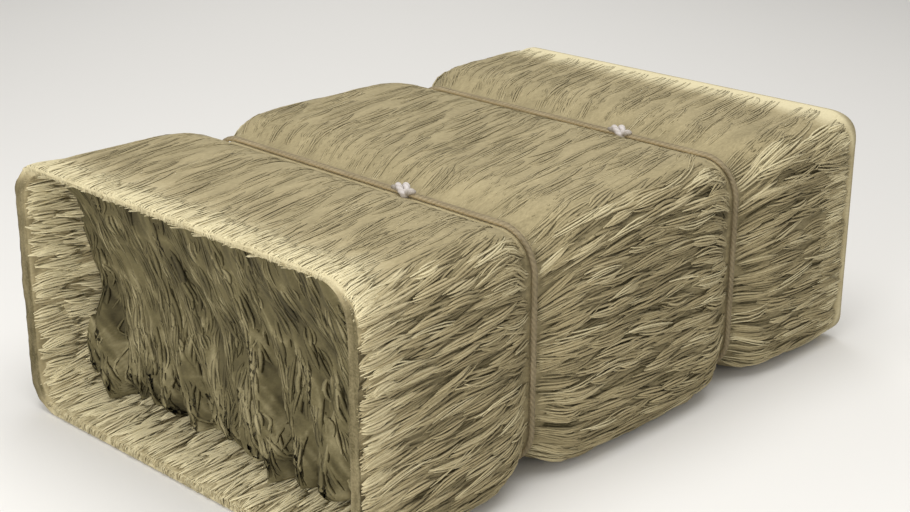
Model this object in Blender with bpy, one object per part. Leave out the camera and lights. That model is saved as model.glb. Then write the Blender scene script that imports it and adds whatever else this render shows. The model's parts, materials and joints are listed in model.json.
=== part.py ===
"""Square hay bale lying on its broad side, tied round with two twines.

The bale's length runs along X, its width along Y, and Z is up. The origin is the middle of its footprint,
on the ground. Its -X end is hollowed: the outer hay stands past the darker inner hay as a thin lip.
"""

import math

import bmesh
import bpy
from mathutils import Vector, noise

# The whole bale, in metres.
LENGTH = 0.883
WIDTH = 0.596
HEIGHT = 0.3155
CORNER_RADIUS = 0.046

# The two ties. Each lies in a slightly slanting plane, x = place + slant * y, and pinches the hay in.
TIE_PLACES = (-0.165, 0.200)
TIE_SLANTS = (0.020, 0.014)
PINCH_DEPTH = 0.023
PINCH_REACH = 0.033
PINCH_POWER = 1.5
TWINE_RADIUS = 0.0033
TWINE_SEAT = 0.0045
KNOT_Y = (-0.076, -0.095)
KNOT_HALF_LENGTH = 0.0176
# The thickness of the knot's wraps from one side to the other, in twine radii.
KNOT_WRAPS = (1.0, 1.55, 2.3, 1.95, 2.45, 1.95, 2.3, 1.55, 1.0)
KNOT_SIDES = 10
# A loose end of the knot: how far along X, along Y and up from the knot, and its thickness in twine radii.
KNOT_END = (
    (0.000, 0.003, 0.0000, 0.90),
    (0.007, 0.013, 0.0040, 0.85),
    (0.012, 0.024, 0.0052, 0.80),
    (0.016, 0.034, 0.0050, 0.60),
)

# The hollow at the -X end.
LIP_SIDE = 0.019
LIP_TOP = 0.008
LIP_BOTTOM = 0.012
LIP_ROUNDING = 0.003
HOLLOW_DEPTH = 0.122
HOLLOW_TAPER = 0.007
HOLLOW_RADIUS = 0.042

# How uneven the pressed hay is. Its clumps run along the bale side by side, and dents only go inwards.
CLUMP_LENGTH = 0.090
CLUMP_STEP = 2.63
CLUMP_CONTRAST = 3.0
SIDE_DENT = 0.008
FLAT_DENT = 0.004
END_CLUMP = (0.120, 0.030)
END_DENT = 0.010
END_ROUNDING = 0.014
# The hay is even this near to a twine, and as uneven as elsewhere from the second distance on.
EVEN_BY_TWINE = (0.012, 0.045)
# The underside is level this near to its middle, and as uneven as elsewhere from twice as far on.
REST_PATCH = 0.060

# The inner hay seen in the hollow: a slab with leaning tufts that stop short of the hollow's floor.
INNER_DEPTH = 0.098
INNER_SLACK = 0.002
INNER_TOP_LEAN = 0.036
INNER_LEAN_HEIGHTS = (0.13, 0.29)
TUFT_LEAN = 0.42
TUFT_RIPPLE = 0.012
# Each tuft is where its pointed tip is across the bale, its half width, how far it stands out, and how
# high the tip is over the lip's underside.
TUFTS = (
    (0.252, 0.024, 0.034, 0.020),
    (0.196, 0.017, 0.052, 0.008),
    (0.143, 0.020, 0.024, 0.008),
    (0.106, 0.015, 0.022, 0.006),
    (0.053, 0.018, 0.034, 0.008),
    (0.008, 0.016, 0.022, 0.008),
    (-0.050, 0.021, 0.030, 0.006),
    (-0.104, 0.020, 0.052, 0.006),
    (-0.142, 0.024, 0.034, 0.008),
    (-0.192, 0.026, 0.042, 0.010),
    (-0.252, 0.020, 0.032, 0.014),
)
TUFT_POINT = 0.045
TUFT_FADE_HEIGHTS = (0.05, 0.24)

# Neighbouring solids keep this distance.
GAP = 0.0003

# Two faces that meet at more than this angle show an edge.
SHARP_ANGLE = math.radians(50.0)

# How finely the round forms are cut.
CORNER_STEPS = 7
FLAT_STEPS = 14
SIDE_STEPS = 11
TIE_OFFSETS = (0.0, TWINE_SEAT, 0.013, 0.028, 0.052)
INNER_COLUMNS = 36
INNER_ROWS = (0.0, 0.007, 0.014, 0.022, 0.033, 0.050, 0.075, 0.110, 0.150, 0.190, 0.230, 1.0)


def smooth_step(value, low, high):
    """0 below low, 1 above high, and smooth in between."""
    t = min(1.0, max(0.0, (value - low) / (high - low)))
    return t * t * (3.0 - 2.0 * t)


def pinch(station):
    """How far the ties pull the hay in at this place along the bale. Right under a twine it is level."""
    offsets = [max(0.0, abs(station - place) - TWINE_SEAT) for place in TIE_PLACES]
    return PINCH_DEPTH * max(math.exp(-((off / PINCH_REACH) ** PINCH_POWER)) for off in offsets)


def slant(station):
    """The slant of the sections: each tie's own at the tie, and none at the two ends."""
    marks = (-LENGTH / 2, *TIE_PLACES, LENGTH / 2)
    slants = (0.0, *TIE_SLANTS, 0.0)
    for i in range(len(marks) - 1):
        if station <= marks[i + 1]:
            share = (station - marks[i]) / (marks[i + 1] - marks[i])
            return slants[i] + share * (slants[i + 1] - slants[i])
    return 0.0


def rounded_outline(half_width, low, high, radius, flat_steps=FLAT_STEPS, side_steps=SIDE_STEPS):
    """(y, z, outward y, outward z) round a rounded rectangle: the +Y corner at the top, the top, and on."""
    corners = (
        (half_width - radius, high - radius, 0.0, flat_steps),
        (-half_width + radius, high - radius, 90.0, side_steps),
        (-half_width + radius, low + radius, 180.0, flat_steps),
        (half_width - radius, low + radius, 270.0, side_steps),
    )
    points = []
    for number, (y, z, start, run_steps) in enumerate(corners):
        for step in range(CORNER_STEPS + 1):
            angle = math.radians(start + 90.0 * step / CORNER_STEPS)
            out_y, out_z = math.cos(angle), math.sin(angle)
            points.append((y + radius * out_y, z + radius * out_z, out_y, out_z))
        # The straight run to the next corner starts where this corner ends.
        y0, z0, out_y, out_z = points[-1]
        next_y, next_z = corners[(number + 1) % 4][:2]
        y1, z1 = next_y + radius * out_y, next_z + radius * out_z
        for step in range(1, run_steps):
            share = step / run_steps
            points.append((y0 + share * (y1 - y0), z0 + share * (z1 - z0), out_y, out_z))
    return points


def clump(column, station):
    """0 on a clump of hay and up to 1 in the dent beside it. Each column has clumps of its own."""
    shape = noise.noise(Vector((station / CLUMP_LENGTH, CLUMP_STEP * column, 3.3)))
    return min(1.0, max(0.0, 0.5 + CLUMP_CONTRAST * shape))


def dent(station, y, out_z, column):
    """How deep the hay is dented at a point of the outside. The ties and the resting patch stay even."""
    depth = SIDE_DENT + (FLAT_DENT - SIDE_DENT) * abs(out_z)
    for place in TIE_PLACES:
        depth *= smooth_step(abs(station - place), *EVEN_BY_TWINE)
    if out_z < -0.9:
        depth *= smooth_step(math.hypot(station, y), REST_PATCH, 2 * REST_PATCH)
    return depth * clump(column, station)


def outer_ring(bm, station):
    """Vertices of the bale's outside at one place along it, with the hay's dents."""
    pulled = pinch(station)
    section = rounded_outline(WIDTH / 2 - pulled, pulled, HEIGHT - pulled, CORNER_RADIUS)
    ring = []
    for column, (y, z, out_y, out_z) in enumerate(section):
        depth = dent(station, y, out_z, column)
        x = station + slant(station) * y
        ring.append(bm.verts.new((x, y - depth * out_y, z - depth * out_z)))
    return ring


def hollow_ring(bm, depth, thicker):
    """Vertices of the hollow at one depth behind the -X end, where its wall is this much thicker."""
    section = rounded_outline(
        WIDTH / 2 - LIP_SIDE - thicker,
        LIP_BOTTOM + thicker,
        HEIGHT - LIP_TOP - thicker,
        HOLLOW_RADIUS,
    )
    return [bm.verts.new((-LENGTH / 2 + depth, y, z)) for y, z, _, _ in section]


def end_dent(y, z):
    """How deep the +X end is dented at a place on it. Its clumps lie across the bale."""
    along, across = END_CLUMP
    shape = noise.noise(Vector((y / along, z / across, 7.1)))
    return END_DENT * min(1.0, max(0.0, 0.3 + CLUMP_CONTRAST * shape))


def end_rim(bm, inset, drop, dented):
    """Vertices round the +X end, inset from its outline and drop behind its highest place."""
    section = rounded_outline(WIDTH / 2 - inset, inset, HEIGHT - inset, CORNER_RADIUS - 0.5 * inset)
    return [bm.verts.new((LENGTH / 2 - drop - dented * end_dent(y, z), y, z)) for y, z, _, _ in section]


def close_end(bm, rim):
    """Fills the +X end inside its rim with level rows of quads, each from the rim's one side to the other."""
    bends = 2 * CORNER_STEPS + SIDE_STEPS
    first = CORNER_STEPS + FLAT_STEPS
    top = rim[CORNER_STEPS : first + 1]
    bottom = rim[first + bends : first + bends + FLAT_STEPS + 1][::-1]
    rows = [top]
    for down in range(1, bends):
        left, right = rim[CORNER_STEPS - down], rim[first + down]
        row = [left]
        for step in range(1, FLAT_STEPS):
            place = left.co.lerp(right.co, step / FLAT_STEPS)
            row.append(bm.verts.new((LENGTH / 2 - end_dent(place.y, place.z), place.y, place.z)))
        rows.append([*row, right])
    rows.append(bottom)
    for upper, lower in zip(rows, rows[1:]):
        for i in range(FLAT_STEPS):
            bm.faces.new((upper[i], upper[i + 1], lower[i + 1], lower[i]))


def skin(bm, rings):
    """Quads between each ring and the next."""
    count = len(rings[0])
    for first, second in zip(rings, rings[1:]):
        for i in range(count):
            j = (i + 1) % count
            bm.faces.new((first[i], first[j], second[j], second[i]))


def between(start, end, count):
    """count places evenly between start and end, without either."""
    return [start + (end - start) * (i + 1) / (count + 1) for i in range(count)]


def outer_stations():
    """Places along the bale for its rings: close together at the ties, and wider apart on each lobe."""
    near_tie, far_tie = TIE_PLACES
    reach = TIE_OFFSETS[-1]
    near_end, far_end = -LENGTH / 2 + LIP_ROUNDING, LENGTH / 2 - END_ROUNDING
    stations = [near_end, far_end]
    for tie in TIE_PLACES:
        stations += [tie + offset for offset in TIE_OFFSETS]
        stations += [tie - offset for offset in TIE_OFFSETS[1:]]
    stations += between(near_end, near_tie - reach, 5)
    stations += between(near_tie + reach, far_tie - reach, 6)
    stations += between(far_tie + reach, far_end, 4)
    return sorted(stations)


def material(name, colour, roughness):
    """A matte material of this colour."""
    made = bpy.data.materials.new(name)
    made.use_nodes = True
    shader = made.node_tree.nodes["Principled BSDF"]
    shader.inputs["Base Color"].default_value = (*colour, 1.0)
    shader.inputs["Roughness"].default_value = roughness
    shader.inputs["Metallic"].default_value = 0.0
    made.diffuse_color = (*colour, 1.0)
    return made


def add_object(name, data, paint):
    """Links a mesh or curve into the scene as one named object."""
    obj = bpy.data.objects.new(name, data)
    bpy.context.scene.collection.objects.link(obj)
    data.materials.append(paint)
    return obj


def mesh_from(bm, name):
    """Closes a bmesh off as a smooth mesh whose faces point outwards."""
    bmesh.ops.recalc_face_normals(bm, faces=bm.faces)
    mesh = bpy.data.meshes.new(name)
    bm.to_mesh(mesh)
    bm.free()
    mesh.shade_smooth()
    mesh.set_sharp_from_angle(angle=SHARP_ANGLE)
    return mesh


def make_hay_body(paint):
    """The pressed hay: three lobes between the ties, a thin lip round the hollow, and a full far end."""
    bm = bmesh.new()
    rings = [
        hollow_ring(bm, HOLLOW_DEPTH, HOLLOW_TAPER),
        hollow_ring(bm, HOLLOW_DEPTH / 2, HOLLOW_TAPER / 2),
        hollow_ring(bm, LIP_ROUNDING, 0.0),
        hollow_ring(bm, 0.0, -LIP_ROUNDING),
    ]
    lip = rounded_outline(
        WIDTH / 2 - LIP_ROUNDING, LIP_ROUNDING, HEIGHT - LIP_ROUNDING, CORNER_RADIUS - LIP_ROUNDING
    )
    rings.append([bm.verts.new((-LENGTH / 2, y, z)) for y, z, _, _ in lip])
    rings += [outer_ring(bm, station) for station in outer_stations()]
    rings.append(end_rim(bm, 0.3 * END_ROUNDING, 0.3 * END_ROUNDING, 0.0))
    rings.append(end_rim(bm, END_ROUNDING, 0.0, 1.0))
    skin(bm, rings)
    bm.faces.new(rings[0])
    close_end(bm, rings[-1])
    return add_object("hay_body", mesh_from(bm, "hay_body"), paint)


def tuft_reach(y, z):
    """How far the tufts stand out of the inner hay at a point of its face. Each is pointed at its foot."""
    ripple = 0.5 + noise.noise(Vector(((y - TUFT_LEAN * z) / 0.022, z / 0.09, 0.0)))
    reach = TUFT_RIPPLE * min(1.0, max(0.0, ripple))
    for foot, half_width, stand_out, hang in TUFTS:
        above = z - LIP_BOTTOM - hang
        if above <= 0.0:
            continue
        off = abs(y - foot - TUFT_LEAN * above) / (half_width * min(1.0, 0.3 + above / TUFT_POINT))
        fade = 1.0 - 0.75 * smooth_step(z, *TUFT_FADE_HEIGHTS)
        reach = max(reach, stand_out * fade * smooth_step(above, 0.0, 0.008) * max(0.0, 1.0 - off**2))
    return reach


def make_inner_hay(paint):
    """The darker hay inside the end: a slab that fills the back of the hollow, its face in leaning tufts."""
    wall = HOLLOW_TAPER * INNER_DEPTH / HOLLOW_DEPTH + INNER_SLACK
    half_width = WIDTH / 2 - LIP_SIDE - wall
    low, high = LIP_BOTTOM + wall, HEIGHT - LIP_TOP - wall
    back = -LENGTH / 2 + HOLLOW_DEPTH - GAP
    radius = HOLLOW_RADIUS

    def half_at(z):
        """Half the slab's width at this height, narrower in its round corners."""
        into = max(0.0, low + radius - z, z - high + radius)
        return half_width - radius + math.sqrt(max(0.0, radius**2 - into**2))

    bm = bmesh.new()
    heights = [low + (h if h < 1.0 else high - low) for h in INNER_ROWS]
    rows = []
    for z in heights:
        row = []
        for column in range(INNER_COLUMNS + 1):
            y = half_at(z) * (1.0 - 2.0 * column / INNER_COLUMNS)
            lean = INNER_TOP_LEAN * smooth_step(z, *INNER_LEAN_HEIGHTS)
            x = -LENGTH / 2 + INNER_DEPTH - lean - tuft_reach(y, z)
            row.append(bm.verts.new((x, y, z)))
        rows.append(row)
    for lower, upper in zip(rows, rows[1:]):
        for i in range(INNER_COLUMNS):
            bm.faces.new((lower[i], lower[i + 1], upper[i + 1], upper[i]))
    rim = rows[0][:]
    rim += [row[-1] for row in rows[1:]]
    rim += rows[-1][-2::-1]
    rim += [row[0] for row in rows[-2:0:-1]]
    behind = [bm.verts.new((back, vert.co.y, vert.co.z)) for vert in rim]
    for i in range(len(rim)):
        j = (i + 1) % len(rim)
        bm.faces.new((rim[i], rim[j], behind[j], behind[i]))
    bm.faces.new(behind)
    return add_object("inner_hay", mesh_from(bm, "inner_hay"), paint)


def tube(name, points, radii, sides_level, paint):
    """A round bar along points, as thick at each as its radius says, with closed ends."""
    curve = bpy.data.curves.new(name, "CURVE")
    curve.dimensions = "3D"
    curve.bevel_depth = 1.0
    curve.bevel_resolution = sides_level
    curve.use_fill_caps = True
    spline = curve.splines.new("POLY")
    spline.points.add(len(points) - 1)
    for target, place, radius in zip(spline.points, points, radii):
        target.co = (*place, 1.0)
        target.radius = radius
    return add_object(name, curve, paint)


def twine_height():
    """How high the twine's middle line runs over the bale's top."""
    return HEIGHT - PINCH_DEPTH + TWINE_RADIUS + GAP


def make_twine(name, place, slope, knot_y, paint):
    """One twine: from one side of its knot, once round the bale in the pinch, to the knot's other side."""
    off = TWINE_RADIUS + GAP
    outline = rounded_outline(
        WIDTH / 2 - PINCH_DEPTH + off,
        PINCH_DEPTH - off,
        HEIGHT - PINCH_DEPTH + off,
        CORNER_RADIUS + off,
        flat_steps=1,
        side_steps=1,
    )
    # From the knot the twine runs to the -Y corner first, which follows the first corner in the outline.
    route = [(y, z) for y, z, _, _ in outline]
    route = route[CORNER_STEPS + 1 :] + route[: CORNER_STEPS + 1]
    reach = KNOT_HALF_LENGTH + GAP
    route = [(knot_y - reach, twine_height()), *route, (knot_y + reach, twine_height())]
    points = [(place + slope * y, y, z) for y, z in route]
    return tube(name, points, [TWINE_RADIUS] * len(points), 2, paint)


def union(target, others):
    """Joins the other objects to target, so that only target is left as a body of its own."""
    for other in others:
        join = target.modifiers.new("join", "BOOLEAN")
        join.operation = "UNION"
        join.solver = "EXACT"
        join.object = other
        other.hide_render = True
        other.display_type = "WIRE"


def as_mesh(curve_object):
    """Turns a curve object into a mesh object of the same name and material."""
    graph = bpy.context.evaluated_depsgraph_get()
    mesh = bpy.data.meshes.new_from_object(curve_object.evaluated_get(graph))
    bm = bmesh.new()
    bm.from_mesh(mesh)
    bmesh.ops.remove_doubles(bm, verts=bm.verts, dist=1e-6)
    bmesh.ops.recalc_face_normals(bm, faces=bm.faces)
    bm.to_mesh(mesh)
    bm.free()
    name, curve = curve_object.name, curve_object.data
    bpy.data.objects.remove(curve_object)
    bpy.data.curves.remove(curve)
    obj = bpy.data.objects.new(name, mesh)
    bpy.context.scene.collection.objects.link(obj)
    return obj


def make_knot(name, place, slope, knot_y, paint):
    """The knot that closes a twine: a spindle of wraps with two short ends lying off it."""
    bottom = HEIGHT - PINCH_DEPTH + GAP
    half = KNOT_HALF_LENGTH
    bm = bmesh.new()
    rings = []
    for number, wrap in enumerate(KNOT_WRAPS):
        y = knot_y - half + 2 * half * number / (len(KNOT_WRAPS) - 1)
        radius = wrap * TWINE_RADIUS
        ring = []
        for step in range(KNOT_SIDES):
            angle = math.tau * step / KNOT_SIDES
            across, up = radius * math.cos(angle), radius * (1.0 + math.sin(angle))
            ring.append(bm.verts.new((place + slope * y + across, y, bottom + up)))
        rings.append(ring)
    skin(bm, rings)
    bm.faces.new(rings[0])
    bm.faces.new(rings[-1])
    body = add_object(name, mesh_from(bm, name), paint)
    x, height = place + slope * knot_y, bottom + 2.0 * TWINE_RADIUS
    ends = []
    for side in (1, -1):
        run = [(x + dx, knot_y + side * dy, height + dz) for dx, dy, dz, _ in KNOT_END]
        radii = [thickness * TWINE_RADIUS for _, _, _, thickness in KNOT_END]
        ends.append(as_mesh(tube(f"{name}_end_{side}", run, radii, 1, paint)))
    union(body, ends)
    return body


def main():
    for obj in list(bpy.data.objects):
        bpy.data.objects.remove(obj)
    outer = material("outer_hay", (0.40, 0.33, 0.19), 0.9)
    inner = material("inner_hay", (0.15, 0.12, 0.06), 0.95)
    string = material("twine", (0.24, 0.19, 0.13), 0.85)
    pale = material("knot", (0.62, 0.56, 0.50), 0.8)
    make_hay_body(outer)
    make_inner_hay(inner)
    for label, place, slope, knot_y in zip(("near", "far"), TIE_PLACES, TIE_SLANTS, KNOT_Y):
        make_twine(f"twine_{label}", place, slope, knot_y, string)
        make_knot(f"knot_{label}", place, slope, knot_y, pale)


main()
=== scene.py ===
"""A pressed square hay bale tied with two twines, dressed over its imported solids.

The bale's length runs along X and its width along Y, and it lies on the floor. Its outside is one closed
skin with the hollow at its -X end. Over that lie stalks of hay in locks: bundles of a few stalks that lie
together. The darker hay inside the hollow is a mass of its own with blades over it.
"""

import functools
import json
import math

import bpy
import numpy as np
from mathutils import Matrix, Vector

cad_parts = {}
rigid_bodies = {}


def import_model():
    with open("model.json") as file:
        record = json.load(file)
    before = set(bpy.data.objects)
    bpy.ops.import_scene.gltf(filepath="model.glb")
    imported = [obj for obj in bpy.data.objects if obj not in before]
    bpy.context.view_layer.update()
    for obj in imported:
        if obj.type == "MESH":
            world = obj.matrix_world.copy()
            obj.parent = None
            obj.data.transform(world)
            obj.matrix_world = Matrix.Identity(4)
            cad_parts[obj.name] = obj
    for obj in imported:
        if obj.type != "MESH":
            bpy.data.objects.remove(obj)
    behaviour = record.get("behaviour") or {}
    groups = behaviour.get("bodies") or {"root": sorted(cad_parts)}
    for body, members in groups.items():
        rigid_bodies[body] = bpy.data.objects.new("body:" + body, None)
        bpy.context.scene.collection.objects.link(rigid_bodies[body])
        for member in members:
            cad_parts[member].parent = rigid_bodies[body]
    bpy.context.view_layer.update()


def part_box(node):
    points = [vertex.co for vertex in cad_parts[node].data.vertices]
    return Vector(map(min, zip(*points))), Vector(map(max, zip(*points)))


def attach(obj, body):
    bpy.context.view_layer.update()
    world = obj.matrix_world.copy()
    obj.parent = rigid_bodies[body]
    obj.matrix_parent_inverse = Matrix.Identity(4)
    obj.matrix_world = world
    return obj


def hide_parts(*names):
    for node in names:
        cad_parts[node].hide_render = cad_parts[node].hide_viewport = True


# The bale's form, as its solids have it. Everything is in metres.
CORNER_RADIUS = 0.046
TIE_PLACES = (-0.165, 0.200)
TIE_SLANTS = (0.020, 0.014)
PINCH_DEPTH = 0.023
PINCH_REACH = 0.033
PINCH_POWER = 1.5
TWINE_SEAT = 0.0045
TWINE_RADIUS = 0.0033
LIP_SIDE = 0.019
LIP_TOP = 0.008
LIP_BOTTOM = 0.012
LIP_ROUNDING = 0.003
# How tightly hay that hangs over the lip's edge turns.
LIP_TURN = 0.004
HOLLOW_DEPTH = 0.118
HOLLOW_TAPER = 0.007
HOLLOW_RADIUS = 0.042
INNER_DEPTH = 0.098
INNER_TOP_LEAN = 0.036
INNER_LEAN_HEIGHTS = (0.13, 0.29)
END_ROUNDING = 0.014
# The plain band of pressed hay that goes round the bale at its +X end.
FAR_BAND = 0.020
# How far along a cord its plies make one turn, and half a knot's cord.
TWIST_PITCH = 0.022
KNOT_RADIUS = 0.0034

# How finely the meshes are made.
SKIN_AROUND, SKIN_ALONG = 400, 150
INNER_COLUMNS, INNER_ROWS = 400, 215
TWINE_STEPS, KNOT_STEPS, CORD_SIDES = 900, 150, 14

# Each tuft of the inner hay: where its tip is across the bale, its half width, how far it stands out, and how
# high its tip is over the floor of the hollow.
TUFTS = (
    (0.252, 0.024, 0.034, 0.020),
    (0.196, 0.017, 0.052, 0.008),
    (0.143, 0.020, 0.024, 0.008),
    (0.106, 0.015, 0.022, 0.006),
    (0.053, 0.018, 0.034, 0.008),
    (0.008, 0.016, 0.022, 0.008),
    (-0.050, 0.021, 0.030, 0.006),
    (-0.104, 0.020, 0.052, 0.006),
    (-0.142, 0.024, 0.034, 0.008),
    (-0.192, 0.026, 0.042, 0.010),
    (-0.252, 0.020, 0.032, 0.014),
)
TUFT_LEAN = 0.42

# The camera that the photograph was taken with.
CAMERA_PLACE = (-1.4133, -1.3618, 0.8667)
CAMERA_AZIMUTH = -0.8023
CAMERA_ELEVATION = 0.3469
CAMERA_ROLL = 0.0037
CAMERA_LENS = 65.61

rng = np.random.default_rng(7)


def srgb(red, green, blue):
    """A colour given as 0 to 255 in sRGB, as the linear RGBA that Blender's nodes use."""
    linear = []
    for value in (red, green, blue):
        v = value / 255.0
        linear.append(v / 12.92 if v <= 0.04045 else ((v + 0.055) / 1.055) ** 2.4)
    return (*linear, 1.0)


def smooth_step(value, low, high):
    """0 below low, 1 above high, and smooth in between."""
    t = np.clip((np.asarray(value, float) - low) / (high - low), 0.0, 1.0)
    return t * t * (3.0 - 2.0 * t)


def hump(distance, reach, power=2):
    """1 at a distance of 0, falling smoothly to nearly 0 beyond reach."""
    return np.exp(-((distance / reach) ** power))


def unit(vectors):
    """The same directions at a length of 1."""
    return vectors / (np.linalg.norm(vectors, axis=-1, keepdims=True) + 1e-12)


def lattice(ix, iy, seed):
    """A fixed value from 0 to 1 for each whole-numbered place."""
    h = (ix.astype(np.int64) * 73856093) ^ (iy.astype(np.int64) * 19349663) ^ (seed * 83492791)
    h = ((h ^ (h >> 13)) * 1274126177) & 0xFFFFFFFF
    h = ((h ^ (h >> 15)) * 668265263) & 0xFFFFFFFF
    return ((h >> 8) & 0xFFFF) / 65535.0


def noise(x, y, seed):
    """Smooth noise from -1 to 1 whose features are about one unit wide."""
    x, y = np.broadcast_arrays(np.asarray(x, float), np.asarray(y, float))
    x0, y0 = np.floor(x), np.floor(y)
    fx, fy = x - x0, y - y0
    fx = fx * fx * fx * (fx * (fx * 6 - 15) + 10)
    fy = fy * fy * fy * (fy * (fy * 6 - 15) + 10)
    low = lattice(x0, y0, seed) * (1 - fx) + lattice(x0 + 1, y0, seed) * fx
    high = lattice(x0, y0 + 1, seed) * (1 - fx) + lattice(x0 + 1, y0 + 1, seed) * fx
    return 2.0 * (low * (1 - fy) + high * fy) - 1.0


# The form of the outside

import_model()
body_low, body_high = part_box("hay_body")
LENGTH = body_high.x - body_low.x
WIDTH = body_high.y - body_low.y
HEIGHT = body_high.z - body_low.z
NEAR_END = body_low.x

# Round the bale runs the distance t, at its full section: from the +Y side's top end over the corner and the
# top, down the -Y side, back along the underside, and up the +Y side.
QUARTER = math.pi * CORNER_RADIUS / 2
FLAT_RUN = WIDTH - 2 * CORNER_RADIUS
SIDE_RUN = HEIGHT - 2 * CORNER_RADIUS
RUNS = np.array([QUARTER, FLAT_RUN, QUARTER, SIDE_RUN, QUARTER, FLAT_RUN, QUARTER, SIDE_RUN])
STARTS = np.concatenate([[0.0], np.cumsum(RUNS)])
_, TOP_START, TOP_END, FRONT_START, FRONT_END, UNDER_START, UNDER_END, BACK_START, ROUND = STARTS


def pinch(x):
    """How far the ties pull the hay in at x."""
    inset = np.zeros_like(x)
    for place in TIE_PLACES:
        off = np.maximum(0.0, np.abs(x - place) - TWINE_SEAT)
        inset = np.maximum(inset, PINCH_DEPTH * hump(off, PINCH_REACH, PINCH_POWER))
    return inset


def slant(x):
    """The slant of the sections: each tie's own at the tie, and none at the two ends."""
    marks = (NEAR_END, *TIE_PLACES, NEAR_END + LENGTH)
    return np.interp(x, marks, (0.0, *TIE_SLANTS, 0.0))


def near_tie(x):
    """How far x is from the nearest tie."""
    return np.min([np.abs(x - place) for place in TIE_PLACES], axis=0)


def section(t, half, low, high, radius):
    """y, z and the outward y, z at the distance t round a rounded rectangle of this size."""
    t = np.mod(t, ROUND)
    run = np.clip(np.searchsorted(STARTS, t, side="right") - 1, 0, 7)
    share = (t - STARTS[run]) / RUNS[run]
    corner = run // 2
    bend = run % 2 == 0
    angle = (corner + np.where(bend, share, 1.0)) * math.pi / 2
    out_y, out_z = np.cos(angle), np.sin(angle)
    place = corner + np.where(bend, 0.0, share)
    y = (half - radius) * np.interp(place, range(5), (1, -1, -1, 1, 1))
    z = low + radius + (high - low - 2 * radius) * np.interp(place, range(5), (1, 1, 0, 0, 1))
    return y + radius * out_y, z + radius * out_z, out_y, out_z


def outer_section(t, inset, radius):
    """The bale's section, inset from its full size all round."""
    return section(t, WIDTH / 2 - inset, inset, HEIGHT - inset, radius)


def hollow_section(t, inset, radius):
    """The section of the hollow's mouth, inset all round."""
    return section(t, WIDTH / 2 - LIP_SIDE - inset, LIP_BOTTOM + inset, HEIGHT - LIP_TOP - inset, radius)


def outside(x, t):
    """Points and outward normals of the bale's outside."""
    inset = pinch(x)
    steepness = (pinch(x + 1e-4) - pinch(x - 1e-4)) / 2e-4
    y, z, out_y, out_z = outer_section(t, inset, CORNER_RADIUS)
    return np.stack([x + slant(x) * y, y, z], -1), unit(np.stack([steepness, out_y, out_z], -1))


def hollow_wall(x, t):
    """Points of the hollow's walls at x, and normals that point into the hollow."""
    y, z, out_y, out_z = hollow_section(t, HOLLOW_TAPER * (x - NEAR_END) / HOLLOW_DEPTH, HOLLOW_RADIUS)
    return np.stack([x, y, z], -1), np.stack([np.zeros_like(y), -out_y, -out_z], -1)


def lip_turn(u):
    """The x of a strip that turns over the lip's face, how far it is over it, and its turn's sine and cosine.

    u is the distance along the strip, 0 where it starts to turn and less than 0 beyond."""
    bend = np.clip(-u / LIP_TURN, 0.0, math.pi / 2)
    over = LIP_TURN * (1 - np.cos(bend)) + np.maximum(0.0, -u - LIP_TURN * math.pi / 2)
    x = NEAR_END + np.maximum(u, 0.0) + LIP_TURN * (1 - np.sin(bend))
    return x, over, np.sin(bend), np.cos(bend)


def over_lip(u, t):
    """A strip that comes along the outside and turns down over the lip's face."""
    x, over, sine, cosine = lip_turn(u)
    y, z, out_y, out_z = outer_section(t, over, CORNER_RADIUS - 0.5 * over)
    return np.stack([x, y, z], -1), np.stack([-sine, cosine * out_y, cosine * out_z], -1)


def over_sill(u, t):
    """A strip that comes along the hollow's walls and turns out over the lip's face."""
    x, over, sine, cosine = lip_turn(u)
    inset = HOLLOW_TAPER * np.maximum(u, 0.0) / HOLLOW_DEPTH - over
    y, z, out_y, out_z = hollow_section(t, inset, HOLLOW_RADIUS - 0.5 * inset)
    return np.stack([x, y, z], -1), np.stack([-sine, -cosine * out_y, -cosine * out_z], -1)


def full_end(y, z):
    """Points and normals of the +X end, rounded towards its edge."""
    into = np.minimum(WIDTH / 2 - np.abs(y), np.minimum(z, HEIGHT - z))
    left = np.clip(END_ROUNDING - into, 0.0, END_ROUNDING)
    x = NEAR_END + LENGTH - END_ROUNDING + np.sqrt(END_ROUNDING**2 - left**2)
    return np.stack([x, y, z], -1), np.broadcast_to([1.0, 0.0, 0.0], (*np.shape(y), 3))


def tuft_reach(y, z):
    """How far the hay stands out of the inner face: a swell, fuller above the floor, leaning tufts that are
    pointed at the foot, and small teeth between them. It fades towards the +Y wall."""
    inwards = 1.0 - smooth_step(y, 0.20, 0.26)
    reach = 0.012 * (0.5 + 0.5 * noise((y - TUFT_LEAN * z) / 0.020, z / 0.09, 31)) * inwards
    reach = reach + 0.010 * smooth_step(z, 0.022, 0.050) * (1.0 - smooth_step(z, 0.10, 0.20)) * inwards
    fade = 1.0 - 0.75 * smooth_step(z, 0.05, 0.24)
    beside_wall = 1.0 - 0.6 * smooth_step(y, 0.225, 0.262) * smooth_step(z, 0.10, 0.15)
    for foot, half_width, stand_out, hang in TUFTS:
        above = z - LIP_BOTTOM - hang
        off = np.abs(y - foot - TUFT_LEAN * above) / (half_width * np.clip(0.3 + above / 0.045, 0.05, 1.0))
        shape = stand_out * fade * smooth_step(above, 0.0, 0.006) * np.clip(1.0 - off**2, 0.0, 1.0)
        reach = (reach**4 + (shape * beside_wall) ** 4) ** 0.25
    teeth = smooth_step(noise((y - TUFT_LEAN * z) / 0.0085, z / 0.05, 32), 0.0, 0.6)
    return reach + 0.010 * teeth * (1.0 - smooth_step(z, 0.035, 0.085))


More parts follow.
